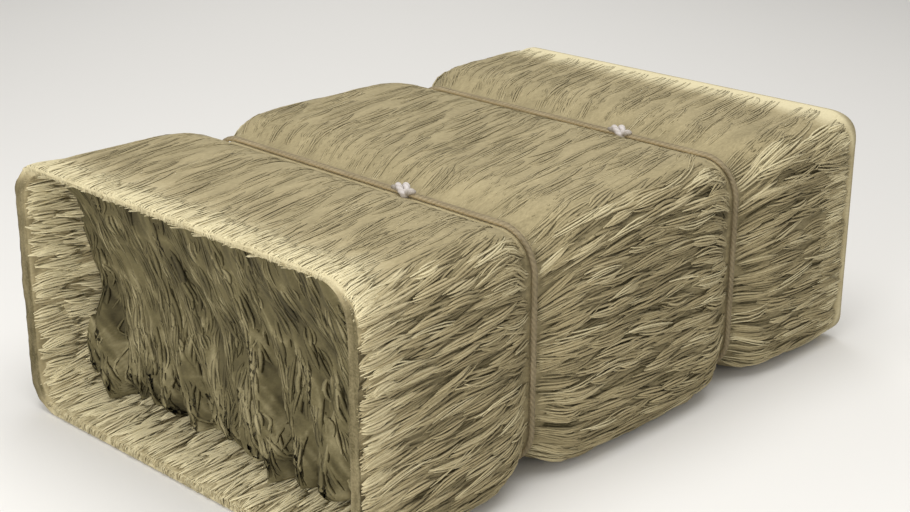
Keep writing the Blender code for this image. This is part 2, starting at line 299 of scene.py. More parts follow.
def inner_face(y, z):
    """Points and normals of the darker hay's face inside the hollow."""

    def depth(y, z):
        lean = INNER_TOP_LEAN * smooth_step(z, *INNER_LEAN_HEIGHTS)
        corner = 0.012 * smooth_step(z, 0.255, 0.285) * smooth_step(y, 0.18, 0.26)
        return NEAR_END + INNER_DEPTH - lean - corner - tuft_reach(y, z)

    step = 0.004
    x = depth(y, z)
    by_y = (depth(y + step, z) - depth(y - step, z)) / (2 * step)
    by_z = (depth(y, z + step) - depth(y, z - step)) / (2 * step)
    return np.stack([x, y, z], -1), unit(np.stack([-np.ones_like(x), by_y, by_z], -1))


# Meshes


def new_object(name, data):
    """A new object of this data, in the scene."""
    obj = bpy.data.objects.new(name, data)
    bpy.context.scene.collection.objects.link(obj)
    return obj


def make_mesh(name, points, faces, tone, places, material):
    """A smooth mesh object from numpy arrays.

    faces is a list of arrays, each with a row of corners for each face. tone is a value from 0 to 1 for each
    point, which the material reads. places holds a place on the bake's map for each corner of each face."""
    loops = np.concatenate([np.asarray(group).reshape(-1) for group in faces])
    counts = np.concatenate([np.full(len(group), np.shape(group)[1]) for group in faces])
    firsts = np.cumsum(counts) - counts
    mesh = bpy.data.meshes.new(name)
    mesh.vertices.add(len(points))
    mesh.vertices.foreach_set("co", np.asarray(points, np.float32).ravel())
    mesh.loops.add(len(loops))
    mesh.loops.foreach_set("vertex_index", loops.astype(np.int32))
    mesh.polygons.add(len(firsts))
    mesh.polygons.foreach_set("loop_start", firsts.astype(np.int32))
    mesh.polygons.foreach_set("use_smooth", np.ones(len(firsts), bool))
    mesh.update(calc_edges=True)
    mesh.uv_layers.new(name="OFBake").uv.foreach_set("vector", np.asarray(places, np.float32).ravel())
    attribute = mesh.attributes.new("tone", "FLOAT", "POINT")
    attribute.data.foreach_set("value", np.clip(tone, 0.0, 1.0).astype(np.float32).ravel())
    mesh.materials.append(material)
    return new_object(name, mesh)


def grid_places(rows, columns, closed, low=(0.0, 0.0), high=(1.0, 1.0)):
    """Places on the bake's map for the corners of grid_quads' faces, inside the box from low to high."""
    across = columns if closed else columns - 1
    i, j = np.meshgrid(np.arange(rows - 1), np.arange(across), indexing="ij")
    u = np.stack([j, j + 1, j + 1, j], -1).reshape(-1) / across
    v = np.stack([i, i, i + 1, i + 1], -1).reshape(-1) / (rows - 1)
    return low + np.stack([u, v], -1) * np.subtract(high, low)


def disc_places(corners, centre, radius):
    """Places on the bake's map for one face of many corners: round a small circle."""
    a = np.arange(corners) * math.tau / corners
    return np.stack([centre[0] + radius * np.cos(a), centre[1] + radius * np.sin(a)], -1)


def flipped(places):
    """The places of four-cornered faces whose corners are taken the other way round."""
    return places.reshape(-1, 4, 2)[:, ::-1].reshape(-1, 2)


def grid_quads(rows, columns, closed):
    """Quads of a grid of points, row by row. A closed grid's last column meets its first."""
    i, j = np.meshgrid(np.arange(rows - 1), np.arange(columns if closed else columns - 1), indexing="ij")
    k = (j + 1) % columns
    here, there = i * columns, (i + 1) * columns
    return np.stack([here + j, here + k, there + k, there + j], -1).reshape(-1, 4)


def dress(obj, slot_name, *nodes):
    """Lets a piece ride on the root body and hides the solids that it stands for. slot_name is not used."""
    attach(obj, "root")
    if nodes:
        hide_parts(*nodes)
    return obj


def kept_between(values, low, high):
    """The rows of values, each moved so that it stays between low and high."""
    values = values + np.maximum(0.0, low - values.min(1, keepdims=True))
    return values - np.maximum(0.0, values.max(1, keepdims=True) - high)


class Stalks:
    """Gathers stalks of hay: closed three-sided bars that follow a surface. It then makes them one mesh."""

    def __init__(self):
        self.points, self.tones, self.groups = [], [], []

    def lay(self, surface, u, v, heading, length, offset, height, radius, tone, steps=5, **more):
        """Lays one stalk for each entry of the arrays.

        u, v and heading are its lock's middle on the surface and which way it runs, and offset is how far
        beside that line it lies. more can hold shift (along the lock), bow (a sideways curve), swell (how
        much higher its middle is), tuck (how much lower its tips are), squeeze (how much they close in on the
        lock's line), flat (thickness over width), taper and taper_from (how much thinner its tips are, and
        how late that starts), tip_tone (how much paler they are), span and band (the lowest and highest u and
        v that it may reach), and sag and glow (functions of u and v: a height and a tone to add)."""
        size = np.shape(radius)

        def column(value):
            return np.broadcast_to(value, size)[:, None]

        def get(key, value):
            return column(more.get(key, value))

        s = np.linspace(-1.0, 1.0, steps)[None, :]
        along = 0.5 * column(length) * s + get("shift", 0.0)
        across = column(offset) * (1.0 - get("squeeze", 0.4) * s**2) + get("bow", 0.0) * (s**2 - 0.4)
        cos, sin = np.cos(column(heading)), np.sin(column(heading))
        pu, pv = column(u) + along * cos - across * sin, column(v) + along * sin + across * cos
        if "span" in more:
            pu = kept_between(pu, *map(column, more["span"]))
        if "band" in more:
            pv = kept_between(pv, *more["band"])
        base, normals = surface(pu, pv)
        level = column(height) + get("swell", 0.0) * (1.0 - s**2) - get("tuck", 0.0) * np.abs(s) ** 3
        if "sag" in more:
            level = level + more["sag"](pu, pv)
        centre = base + normals * level[..., None]
        forward = unit(np.gradient(centre, axis=1))
        beside = unit(np.cross(normals, forward))
        upward = np.cross(forward, beside)
        thick = column(radius) * (1.0 - get("taper", 0.5) * np.abs(s) ** more.get("taper_from", 3))
        corners = []
        for turn in (90.0, 210.0, 330.0):
            a = math.radians(turn)
            wide = (thick * math.cos(a))[..., None]
            tall = (thick * math.sin(a) * get("flat", 0.5))[..., None]
            corners.append(centre + beside * wide + upward * tall)
        tones = column(tone) + get("tip_tone", 0.08) * np.abs(s) ** 4
        if "glow" in more:
            tones = tones + more["glow"](pu, pv)
        self.points.append(np.stack(corners, 2).reshape(-1, 3))
        self.tones.append(np.repeat(tones, 3, axis=1).reshape(-1))
        self.groups.append((size[0], steps))

    def mesh(self, name, material):
        """One object of all the stalks laid. Each has a cell on the bake's map, its sides in a row."""
        total = sum(number for number, _ in self.groups)
        wide = math.ceil(math.sqrt(total * 5.0))
        tall = math.ceil(total / wide)
        sides, ends, side_places, end_places = [], [], [], []
        start = done = 0
        for number, steps in self.groups:
            first = start + np.arange(number) * steps * 3
            sides.append((first[:, None, None] + grid_quads(steps, 3, True)).reshape(-1, 4))
            last = first + (steps - 1) * 3
            ends.append(np.stack([first + 2, first + 1, first], -1))
            ends.append(np.stack([last, last + 1, last + 2], -1))
            cell = done + np.arange(number)
            corner = np.stack([(cell % wide) / wide, (cell // wide) / tall], -1)
            inner = grid_places(steps, 3, True, (0.08, 0.12), (0.92, 0.88)) / (wide, tall)
            side_places.append((corner[:, None, :] + inner).reshape(-1, 2))
            for low, high in ((0.02, 0.10), (0.98, 0.90)):
                inner = np.array([[0.1, low], [0.9, low], [0.5, high]]) / (wide, tall)
                end_places.append((corner[:, None, :] + inner).reshape(-1, 2))
            start += number * steps * 3
            done += number
        points, tones = np.concatenate(self.points), np.concatenate(self.tones)
        places = np.concatenate(side_places + end_places)
        return make_mesh(name, points, [np.concatenate(sides), np.concatenate(ends)], tones, places, material)


def scatter(u_range, v_range, length, width, coverage):
    """Middles for locks of this size over a patch: one at random in each cell of a grid."""
    wide, tall = u_range[1] - u_range[0], v_range[1] - v_range[0]
    cells = coverage * wide * tall / (length * width)
    aspect = 0.5 * length / (2.0 * width)
    columns = max(1, round(math.sqrt(cells * wide / tall / aspect)))
    rows = max(1, round(cells / columns))
    i, j = np.meshgrid(np.arange(columns), np.arange(rows), indexing="ij")
    u = u_range[0] + (i.ravel() + rng.random(columns * rows)) * wide / columns
    v = v_range[0] + (j.ravel() + rng.random(columns * rows)) * tall / rows
    return u, v


def lay_locks(stalks, surface, u, v, heading, length, width, number, height, swell, tone, radius, **more):
    """Lays a lock of stalks about each middle: side by side, higher in its middle, closing at its tips."""
    shape = (len(u), number)

    def row(value):
        return np.broadcast_to(np.reshape(value, (-1, 1)) if np.ndim(value) else value, shape).ravel()

    size = shape[0] * number
    spread = np.linspace(-1.0, 1.0, number)[None, :] + rng.normal(0, 0.10, shape)
    level = row(height) + row(swell) * (0.5 - 0.8 * spread.ravel() ** 2) + rng.normal(0, 0.0003, size)
    if "span" in more:
        more["span"] = tuple(row(limit) for limit in more["span"])
    stalks.lay(
        surface, row(u), row(v),
        row(heading) + rng.normal(0, more.pop("stray", 0.05), size),
        row(length) * rng.uniform(0.75, 1.1, size),
        0.5 * row(width) * spread.ravel(),
        level,
        radius * rng.uniform(0.75, 1.25, size),
        row(tone) + rng.normal(0, more.pop("tone_stray", 0.06), size),
        shift=rng.normal(0, 0.10, size) * row(length),
        bow=row(rng.normal(0, 0.035, len(u)) * length),
        swell=0.8 * row(swell),
        **more,
    )


# Materials


def add_node(tree, kind, inputs, **settings):
    """A new node with these settings. Each of its inputs is a value, or the output that feeds it."""
    made = tree.nodes.new("ShaderNode" + kind)
    for name, value in settings.items():
        setattr(made, name, value)
    for key, value in inputs.items():
        if isinstance(value, bpy.types.NodeSocket):
            tree.links.new(value, made.inputs[key])
        else:
            made.inputs[key].default_value = value
    return made


def hay_material(name, dark, middle, pale, roughness):
    """Hay whose colour goes from dark to pale with the mesh's tone, mottled and streaked at two scales."""
    made = bpy.data.materials.new(name)
    made.use_nodes = True
    tree = made.node_tree
    node = functools.partial(add_node, tree)
    tone = node("Attribute", {}, attribute_name="tone").outputs["Fac"]
    place = node("TexCoord", {}).outputs["Object"]
    place = node("Mapping", {"Vector": place, "Scale": (0.35, 1.0, 1.0)}).outputs["Vector"]
    mottle = node("TexNoise", {"Vector": place, "Scale": 26.0, "Detail": 4.0}).outputs["Fac"]
    fleck = node("TexNoise", {"Vector": place, "Scale": 420.0, "Detail": 3.0}).outputs["Fac"]
    wide = node("Math", {0: mottle, 1: 0.24, 2: -0.12}, operation="MULTIPLY_ADD").outputs[0]
    fine = node("Math", {0: fleck, 1: 0.35, 2: -0.175}, operation="MULTIPLY_ADD").outputs[0]
    both = node("Math", {0: wide, 1: fine}, operation="ADD").outputs[0]
    total = node("Math", {0: both, 1: tone}, operation="ADD", use_clamp=True).outputs[0]
    ramp = node("ValToRGB", {"Fac": total})
    ramp.color_ramp.elements[0].color = dark
    ramp.color_ramp.elements[1].color = pale
    ramp.color_ramp.elements.new(0.5).color = middle
    bump = node("Bump", {"Height": fleck, "Strength": 0.35, "Distance": 0.0012})
    shader = tree.nodes["Principled BSDF"]
    shader.inputs["Roughness"].default_value = roughness
    shader.inputs["Specular IOR Level"].default_value = 0.25
    tree.links.new(ramp.outputs["Color"], shader.inputs["Base Color"])
    tree.links.new(bump.outputs["Normal"], shader.inputs["Normal"])
    return made


OUTER = hay_material("outer_hay", srgb(78, 70, 44), srgb(160, 147, 112), srgb(208, 197, 160), 0.85)
INNER = hay_material("inner_hay", srgb(66, 60, 40), srgb(101, 93, 64), srgb(152, 142, 108), 0.9)
TWINE = hay_material("twine", srgb(92, 82, 60), srgb(140, 127, 100), srgb(196, 180, 148), 0.85)
KNOT = hay_material("knot", srgb(132, 124, 112), srgb(176, 168, 160), srgb(206, 200, 198), 0.85)


# The skin


def side_share(t):
    """1 on the two long sides, 0 on the top and the underside, and in between over the corners."""
    t = np.mod(t, ROUND)
    front = smooth_step(t, TOP_END + 0.25 * QUARTER, FRONT_START - 0.2 * QUARTER)
    front *= 1.0 - smooth_step(t, FRONT_END + 0.3 * QUARTER, UNDER_START)
    back = smooth_step(t, UNDER_END, BACK_START - 0.3 * QUARTER) + 1.0
    back -= smooth_step(t, 0.2 * QUARTER, 0.75 * QUARTER)
    return np.clip(front + back, 0.0, 1.0)


def skin_relief(x, t):
    """How high the skin is over the bale's form, never above it, and its tone, which carries painted light:
    paler on the relief's ridges and darker in its dips, darker on the sides than on the top, and paler on the
    far band's top.
    """
    side = side_share(t)
    far = NEAR_END + LENGTH - x
    rim = 1.0 - smooth_step(far, FAR_BAND - 0.006, FAR_BAND + 0.006)
    fold = 1.0 + 1.2 * (1 - side) * hump(near_tie(x) - 0.028, 0.022)
    lean = t + (0.08 + 0.14 * (1 - side)) * x + 0.006 * noise(x / 0.06, t / 0.05, 3)
    coarse = noise(x / 0.070, lean / 0.0105, 11)
    fine = noise(x / 0.035, lean / 0.0048, 12)
    level = -(0.0018 + 0.0036 * side)
    level = level + (0.00025 + 0.0021 * side) * fold * coarse + (0.0001 + 0.0009 * side) * fold * fine
    level = level * (0.25 + 0.75 * smooth_step(near_tie(x), 0.006, 0.030))
    band = -0.0006 + 0.0004 * noise(x / 0.012, t / 0.030, 13)
    # Painted shade on the sides and in the relief's dips, and painted highlight on its ridges.
    tone = 0.41 - 0.16 * side + (0.050 + 0.040 * side) * coarse + (0.035 + 0.015 * side) * fine
    # The far band: paler on the top, a painted highlight.
    tone_band = 0.98 - 0.28 * side + (0.06 + 0.08 * side) * noise(x / 0.02, t / 0.022, 14)
    tone = tone + painted_highlight(x, t)
    return level * (1 - rim) + band * rim, tone * (1 - rim) + tone_band * rim


def make_skin():
    """The bale's whole closed skin: the hollow's walls, the lip, the outside and the full end."""
    t = np.arange(SKIN_AROUND) * ROUND / SKIN_AROUND
    rows, tones = [], []

    def add(points, tone):
        rows.append(points)
        tones.append(np.broadcast_to(tone, (SKIN_AROUND,)))

    for depth in np.linspace(HOLLOW_DEPTH, LIP_ROUNDING, 22):
        x = np.full(SKIN_AROUND, NEAR_END + depth)
        points, normals = hollow_wall(x, t)
        coarse = noise(x / 0.05, t / 0.009, 21)
        fade = smooth_step(depth, 0.004, 0.016)
        # The walls' tone rises and falls with their relief: painted highlight and shade.
        level = (-0.0022 + 0.0014 * coarse) * fade
        add(points + normals * level[:, None], 0.50 + 0.12 * coarse * fade)
    wander = 0.0010 * noise(t / 0.020, 0.0, 25) + 0.0006 * noise(t / 0.006, 0.0, 26)
    plain = side_share(t)

    # The lip's face: paler on its top and foot and darker on its upright sides, painted light and shade, with
    # real mottled spots.
    def mottle(row):
        spots = 0.10 * noise(t / 0.035, row * 0.6, 22) + 0.05 * noise(t / 0.009, row * 0.9, 23)
        return 0.74 - 0.62 * plain + spots

    for depth, inset in ((0.0012, -0.3 * LIP_ROUNDING), (0.0, -LIP_ROUNDING)):
        y, z, out_y, out_z = hollow_section(t, inset, HOLLOW_RADIUS)
        x = NEAR_END + depth + 0.002 * (1 - plain)
        add(np.stack([x, y + wander * out_y, z + wander * out_z], -1), mottle(0.0))
    inner = rows[-1]
    back_side = smooth_step(t, BACK_START - 0.5 * QUARTER, BACK_START) + 1
    back_side -= smooth_step(t, 0.0, 0.5 * QUARTER)
    inset = 0.0030 - 0.0018 * back_side
    y, z, out_y, out_z = outer_section(t, inset, CORNER_RADIUS - inset)
    outer = np.stack([np.full(SKIN_AROUND, NEAR_END), y + wander * out_y, z + wander * out_z], -1)
    for row, share in enumerate((0.2, 0.4, 0.6, 0.8, 0.95)):
        points = inner * (1 - share) + outer * share
        points[:, 0] += 0.0008 + 0.0008 * noise(t / 0.014, row * 0.7, 27)
        add(points, mottle(row + 1.0))
    for station in np.linspace(NEAR_END + 0.0015, NEAR_END + LENGTH - END_ROUNDING, SKIN_ALONG):
        x = np.full(SKIN_AROUND, station)
        points, normals = outside(x, t)
        level, tone = skin_relief(x, t)
        level = level * (1 - 0.6 * back_side * (1 - smooth_step(x - NEAR_END, 0.0, 0.012)))
        add(points + normals * level[:, None], tone)
    for inset in (0.0010, 0.004, 0.009, 0.018, 0.030, 0.045, 0.062, 0.080, 0.100, 0.120, 0.138, 0.152):
        y, z, _, _ = outer_section(t, inset, max(0.004, CORNER_RADIUS - 0.6 * inset))
        points, _ = full_end(y, z)
        deep = smooth_step(inset, 0.006, 0.018)
        coarse = noise(y / 0.07, z / 0.011, 24)
        # The end's face sinks and darkens inwards of its edge, and its tone follows its relief: painted
        # highlight and shade.
        points[:, 0] += deep * (-0.0035 + 0.002 * coarse)
        add(points, 0.5 + deep * (-0.12 + 0.14 * coarse))
    count = len(rows)
    ring = np.arange(SKIN_AROUND)
    faces = [
        grid_quads(count, SKIN_AROUND, True)[:, ::-1],
        np.stack([ring, (count - 1) * SKIN_AROUND + ring[::-1]]),
    ]
    places = [
        flipped(grid_places(count, SKIN_AROUND, True, (0.0, 0.03), (1.0, 1.0))),
        disc_places(SKIN_AROUND, (0.25, 0.013), 0.010),
        disc_places(SKIN_AROUND, (0.75, 0.013), 0.010),
    ]
    points, tones, places = (np.concatenate(parts) for parts in (rows, tones, places))
    return dress(make_mesh("hay_skin", points, faces, tones, places, OUTER), "outer_hay", "hay_body")


# The locks on the outside


def lowered(x, t):
    """A height to add so that stalks pass under the twines."""
    return -0.0022 * (1.0 - smooth_step(near_tie(x), 0.004, 0.016))


def front_heading(x, t):
    """Which way the hay runs on the -Y side: along the bale, dipping at the twines, rising in the first lobe
    and at the top edge."""
    wander = 0.06 * noise(x / 0.11, t / 0.06, 41)
    dip = 0.0
    for place in TIE_PLACES:
        dip = dip + 0.26 * np.sign(place - x) * hump(x - place, 0.050)
    first = 1.0 - smooth_step(x, TIE_PLACES[0] - 0.04, TIE_PLACES[0] + 0.02)
    top_edge = 1.0 - smooth_step(t, TOP_END + 0.2 * QUARTER, FRONT_START + 0.03)
    return 0.01 + wander + dip - 0.13 * first - 0.16 * top_edge * (1.0 + 0.5 * noise(x / 0.07, 0.0, 42))


def top_heading(x, t):
    """Which way the hay runs on the top: turned towards +Y as it goes along, and more beside the twines."""
    wander = 0.06 * noise(x / 0.10, t / 0.09, 43)
    return -0.20 + wander - 0.10 * hump(near_tie(x), 0.05)


def painted_highlight(x, t):
    """Painted highlight: paler hay towards the open end and along the far end of the top, and painted light
    under the twines, against the shade of their grooves.
    """
    top = 1.0 - side_share(t)
    near = 1.0 - smooth_step(x - NEAR_END, 0.006, 0.100)
    far = 1.0 - smooth_step(NEAR_END + LENGTH - x, 0.012, 0.085)
    seat = hump(near_tie(x), 0.0075, 4)
    return near * (0.14 + 0.20 * top) + 0.80 * far * top + seat * (0.22 + 0.10 * top)


def front_painted_highlight(x, t):
    """The same painted highlights as elsewhere on the outside, and a painted highlight along a crest that
    runs along the top of the -Y side and dips beside the twines.
    """
    crest = TOP_END + (0.45 + 0.5 * hump(near_tie(x), 0.045) + 0.12 * noise(x / 0.05, 0.0, 49)) * QUARTER
    return painted_highlight(x, t) + 0.30 * hump(t - crest, 0.010)


def lock_layer(stalks, reach, heading, length, width, coverage, number, height, swell, tone, radius, **more):
    """One layer of locks on the outside, between two distances round the bale.

    Their ends reach the open end's lip, and stay short of the twines and of the plain band at the far end."""
    u, v = scatter((NEAR_END, NEAR_END + LENGTH), reach, length, width, coverage)
    count = len(u)
    near = NEAR_END + more.pop("start", 0.0) + 0.010 * rng.random(count) ** 2
    far = NEAR_END + LENGTH - FAR_BAND + rng.uniform(-0.006, 0.003, count)
    for place in TIE_PLACES:
        near = np.where(u > place, place + 0.001, near)
    for place in TIE_PLACES[::-1]:
        far = np.where(u < place, place - 0.001, far)
    lay_locks(
        stalks, outside, u, v,
        heading(u, v) + rng.normal(0, more.pop("turn", 0.06), count),
        length * rng.uniform(0.7, 1.35, count),
        width * rng.uniform(0.7, 1.3, count),
        number,
        height + rng.normal(0, more.pop("rough", 0.0006), count),
        swell * rng.uniform(0.6, 1.3, count),
        tone + rng.normal(0, more.pop("lock_tone_stray", 0.07), count),
        radius,
        sag=lowered, span=(near, far), glow=more.pop("glow", painted_highlight), **more,
    )


def outside_hay(name, reach, heading, layers):
    """Layers of locks between two distances round the bale, from the lowest up, as one piece.

    Each layer has a lock's length, width, coverage, number of stalks, height, swell and tone, half the width
    of a stalk, and the rest by name."""
    stalks = Stalks()
    for *values, more in layers:
        lock_layer(stalks, reach, heading, *values, **more)
    return dress(stalks.mesh(name, OUTER), "outer_hay")


def make_front():
    """The -Y side: bold strands over darker ones, with dark gaps between them, and a few thin stalks. The
    lower layers' darker tones are painted shade in those gaps.
    """
    bold = {"taper": 0.7, "turn": 0.06, "stray": 0.035, "squeeze": 0.50, "glow": front_painted_highlight}
    layers = (
        (0.084, 0.013, 1.4, 4, -0.0057, 0.0006, 0.14, 0.0026, bold),
        (0.074, 0.012, 1.0, 4, -0.0038, 0.0012, 0.32, 0.0024, bold),
        (0.062, 0.009, 0.8, 4, -0.0018, 0.0020, 0.50, 0.0020, bold),
        (0.065, 0.006, 0.10, 3, 0.0002, 0.0008, 0.72, 0.0012, {"turn": 0.12, "taper_from": 5}),
    )
    reach = (TOP_END + 0.45 * QUARTER, UNDER_START - 0.35 * QUARTER)
    return outside_hay("front_hay", reach, front_heading, layers)


def make_back():
    """The +Y side, like the other one."""

    def heading(x, t):
        return 0.03 + 0.08 * noise(x / 0.11, t / 0.06, 44)

    bold = {"taper": 0.7, "turn": 0.05, "stray": 0.035, "squeeze": 0.55, "start": 0.005}
    # As on the -Y side, the lower layer's darker tone is painted shade between the strands.
    layers = (
        (0.090, 0.012, 1.0, 5, -0.0048, 0.0008, 0.24, 0.0021, bold),
        (0.080, 0.011, 0.8, 5, -0.0020, 0.0022, 0.52, 0.0018, bold),
    )
    reach = (UNDER_END + 0.35 * QUARTER, ROUND + 0.55 * QUARTER)
    return outside_hay("back_hay", reach, heading, layers)


def make_top():
    """The top: hay pressed flat, in long soft streaks."""
    calm = {"turn": 0.04, "stray": 0.03, "rough": 0.0001, "tone_stray": 0.03, "lock_tone_stray": 0.035}
    calm |= {"taper": 0.8, "flat": 0.12}
    layers = (
        (0.090, 0.013, 0.60, 4, -0.0018, 0.0002, 0.42, 0.0024, calm),
        (0.080, 0.011, 0.55, 4, -0.0016, 0.0002, 0.46, 0.0018, calm),
    )
    reach = (0.35 * QUARTER, TOP_END + 0.75 * QUARTER)
    return outside_hay("top_hay", reach, top_heading, layers)


def make_under():
    """The underside, pressed flat on the floor."""

    def heading(x, t):
        return 0.12 + 0.14 * noise(x / 0.10, t / 0.09, 45)

    flat = {"rough": 0.0003, "steps": 4, "flat": 0.2, "taper": 0.8}
    layers = ((0.100, 0.013, 0.80, 3, -0.0022, 0.0004, 0.48, 0.0036, flat),)
    reach = (UNDER_START - 0.5 * QUARTER, UNDER_END + 0.5 * QUARTER)
    return outside_hay("under_hay", reach, heading, layers)


def make_lip_hay():
    """Hay at both ends: over the lip's top edge, over its foot and sides, and along the far end's edges."""
    stalks = Stalks()

    def front(u, t):
        return outside(NEAR_END + u, t)

    def far(u, t):
        return outside(NEAR_END + LENGTH - u, t)

    top = (TOP_START - 0.5 * QUARTER, TOP_END + 0.75 * QUARTER)
    foot = (UNDER_START - 0.4 * QUARTER, UNDER_END + 0.4 * QUARTER)
    side = (TOP_END + 0.6 * QUARTER, UNDER_START - 0.3 * QUARTER)
    other = (UNDER_END + 0.5 * QUARTER, ROUND + 0.4 * QUARTER)
    # Each strip's surface, its part of the way round, how far along its tips reach and how raggedly, and its
    # heading, height, tone, half the width of a stalk, width of a lock and coverage.
    # The lower strip of each pair takes the darker tone: painted shade between the strands.
    strips = (
        (over_lip, top, -LIP_TOP - 0.0028, 0.003, -0.20, -0.0016, 0.84, 0.0018, 0.009, 2.0),
        (over_lip, top, -LIP_TOP - 0.0018, 0.003, -0.20, -0.0011, 0.98, 0.0013, 0.009, 2.0),
        (over_sill, foot, -LIP_BOTTOM, 0.004, 0.12, -0.0010, 0.52, 0.0020, 0.009, 2.0),
        (over_sill, foot, -LIP_BOTTOM, 0.005, 0.12, 0.0000, 0.70, 0.0015, 0.009, 2.0),
        (over_sill, other, -0.0042, 0.014, 0.05, -0.0004, 0.74, 0.0022, 0.010, 1.3),
        (over_sill, side, -0.0060, 0.014, 0.05, -0.0004, 0.60, 0.0022, 0.010, 1.0),
        (front, side, 0.0005, 0.014, -0.12, -0.0030, 0.50, 0.0028, 0.011, 1.2),
        (front, side, 0.0005, 0.026, -0.12, -0.0010, 0.72, 0.0025, 0.011, 1.2),
        (far, side, 0.0150, 0.010, 0.05, -0.0028, 0.76, 0.0022, 0.011, 1.7),
        (far, side, 0.0140, 0.014, 0.05, -0.0018, 0.92, 0.0019, 0.011, 1.2),
        (far, other, 0.0170, 0.016, 0.05, -0.0022, 0.56, 0.0020, 0.011, 0.9),
    )
    length = 0.045
    for surface, part, reach, ragged, heading, height, tone, radius, width, coverage in strips:
        u, v = scatter((reach, reach + 0.030), part, length, width, coverage)
        count = len(u)
        low = reach + ragged * rng.random(count) ** 2
        lay_locks(
            stalks, surface, u, v,
            heading + 0.08 * noise(v / 0.05, 0.0, 48) + rng.normal(0, 0.06, count),
            length * rng.uniform(0.8, 1.3, count),
            width * rng.uniform(0.7, 1.3, count),
            4, height, 0.0010,
            tone + rng.normal(0, 0.06, count),
            radius,
            span=(low, np.full(count, 0.10)), steps=7, flat=0.35, taper=0.8,
        )
    return dress(stalks.mesh("lip_hay", OUTER), "outer_hay")


def make_full_end():
    """The +X end: hay pressed flat across the bale."""
    stalks = Stalks()
    length, width = 0.085, 0.012
    reach = WIDTH / 2 - 0.010
    # The lower layers' darker tones are painted shade between the strands.
    for height, tone, coverage in ((-0.0044, 0.30, 1.1), (-0.0028, 0.46, 0.9), (-0.0018, 0.60, 0.5)):
        u, v = scatter((-reach, reach), (0.013, HEIGHT - 0.013), length, width, coverage)
        count = len(u)
        corner = np.maximum(0.0, np.abs(v - HEIGHT / 2) - (HEIGHT / 2 - CORNER_RADIUS))
        bend = CORNER_RADIUS - np.sqrt(np.maximum(0.0, CORNER_RADIUS**2 - corner**2))
        limit = WIDTH / 2 - 0.020 - bend - 0.006 * rng.random(count)
        lay_locks(
            stalks, full_end, u, v,
            0.25 * noise(u / 0.12, v / 0.06, 46) + rng.normal(0, 0.12, count),
            length * rng.uniform(0.7, 1.3, count),
            width * rng.uniform(0.7, 1.3, count),
            4, height,
            0.0012 * rng.uniform(0.6, 1.3, count),
            tone + rng.normal(0, 0.07, count),
            0.0026,
            span=(-limit, limit), band=(0.018, HEIGHT - 0.018), steps=4, taper=0.75,
        )
    return dress(stalks.mesh("end_hay", OUTER), "outer_hay")


# The hollow


def painted_floor_light(x, t):
    """Painted light: paler hay on the hollow's floor, against the hollow's shade."""
    t = np.mod(t, ROUND)
    past = smooth_step(t, UNDER_END, BACK_START)
    return 0.10 * smooth_step(t, UNDER_START - QUARTER, UNDER_START) * (1.0 - past)


def make_hollow_walls():
    """The hay on the hollow's walls, toned pale partly as painted light against the hollow's shade, with
    bright ragged ends towards the lip. Its lower layers' darker tones are painted shade between the strands.
    """
    stalks = Stalks()
    layers = (
        (-0.0026, 0.46, 1.4, 4, 0.0023),
        (0.0000, 0.84, 1.0, 4, 0.0021),
        (0.0022, 1.00, 0.65, 5, 0.0018),
    )
    length, width = 0.060, 0.011
    for height, tone, coverage, number, radius in layers:
        u, v = scatter((NEAR_END, NEAR_END + HOLLOW_DEPTH), (0.0, ROUND), length, width, coverage)
        count = len(u)
        start = 0.012 * rng.random(count) - 0.001 + 0.010 * ((v > TOP_END) & (v < UNDER_START))
        lay_locks(
            stalks, hollow_wall, u, v,
            0.14 * noise(u / 0.05, v / 0.03, 47) + rng.normal(0, 0.07, count),
            length * rng.uniform(0.6, 1.3, count),
            width * rng.uniform(0.7, 1.3, count),
            number, height,
            0.0022 * rng.uniform(0.6, 1.3, count),
            tone + rng.normal(0, 0.08, count),
            radius,
            span=(NEAR_END + start, np.full(count, NEAR_END + HOLLOW_DEPTH - 0.004)),
            taper=0.7, squeeze=0.55, glow=painted_floor_light,
        )
    return dress(stalks.mesh("hollow_hay", OUTER), "outer_hay")


def inner_relief(y, z):
    """The inner hay's folds and creases at a point of its face: a height and a tone. The tone is paler where
    the face stands higher and darker where it sinks, painted highlight and shade, and darker towards the top,
    painted shade under the hollow's roof.
    """
    wander = 0.006 * noise(y / 0.04, z / 0.04, 54)
    fold = 1.0 - np.abs(noise((y - TUFT_LEAN * z + wander) / 0.018, z / 0.070, 51))
    crease = 1.0 - np.abs(noise((y - 0.1 * z - wander) / 0.013, z / 0.034, 55))
    blotch = 0.6 * noise(y / 0.030, z / 0.036, 52) + 0.6 * noise((y - 0.2 * z) / 0.012, z / 0.019, 56)
    streak = noise((y - TUFT_LEAN * z) / 0.0034, z / 0.030, 57)
    height = -0.0040 + 0.0026 * fold + 0.0018 * crease + 0.0010 * blotch + 0.0005 * streak
    high_up = smooth_step(z, 0.14, 0.26)
    # Painted light: paler on crests, darker in hollows and towards the top under the roof.
    tone = 0.32 - 0.15 * high_up + 0.26 * fold**4 + 0.18 * crease**4 + 0.24 * blotch + 0.09 * streak
    return height, tone


